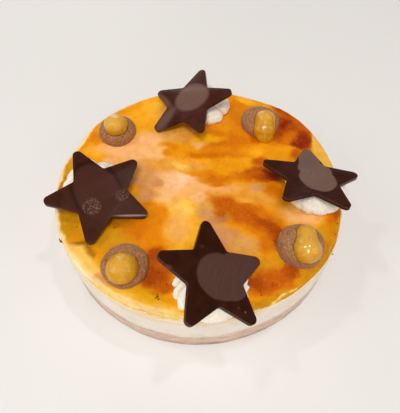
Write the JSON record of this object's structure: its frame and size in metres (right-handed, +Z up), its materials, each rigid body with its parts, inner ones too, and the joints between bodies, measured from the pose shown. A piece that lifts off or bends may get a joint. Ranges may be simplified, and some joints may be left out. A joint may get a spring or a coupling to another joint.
{
  "type": "cream and truffle cake",
  "caption": "Round low cake with a cream layer over a truffle layer, a glossy burnt-yolk top, chocolate stars leaning on piped cream, and truffle drops capped with soft yolk.",
  "frame": {"origin": "centre of the cake's flat underside", "axes": "+Z up along the cake's axis, -Y towards the front, where the side shows, +X to the right seen from the front"},
  "size_m": [0.2316, 0.2318, 0.0831],
  "materials": {
    "truffle": "matte, soft pinkish brown truffle cream",
    "cream": "matte, warm white cream",
    "burnt_yolk": "glossy, streaked orange burnt yolk under clear glaze",
    "whipped_cream": "soft satin white cream",
    "dark_chocolate": "satin dark chocolate with pale bloom",
    "truffle_mousse": "matte, finely pored light brown",
    "soft_yolk": "glossy mustard yellow"
  },
  "bodies": {
    "root": {"truffle_layer": "truffle", "cream_layer": "cream", "yolk_layer": "burnt_yolk", "cream_rosette_front": "whipped_cream", "cream_rosette_left": "whipped_cream", "cream_rosette_back": "whipped_cream", "cream_rosette_right": "whipped_cream", "chocolate_star_front": "dark_chocolate", "chocolate_star_left": "dark_chocolate", "chocolate_star_back": "dark_chocolate", "chocolate_star_right": "dark_chocolate", "truffle_drop_front_left": "truffle_mousse", "truffle_drop_back_left": "truffle_mousse", "truffle_drop_back_right": "truffle_mousse", "truffle_drop_front_right": "truffle_mousse", "yolk_drop_front_left": "soft_yolk", "yolk_drop_back_left": "soft_yolk", "yolk_drop_back_right": "soft_yolk", "yolk_drop_front_right": "soft_yolk"}
  },
  "joints": []
}
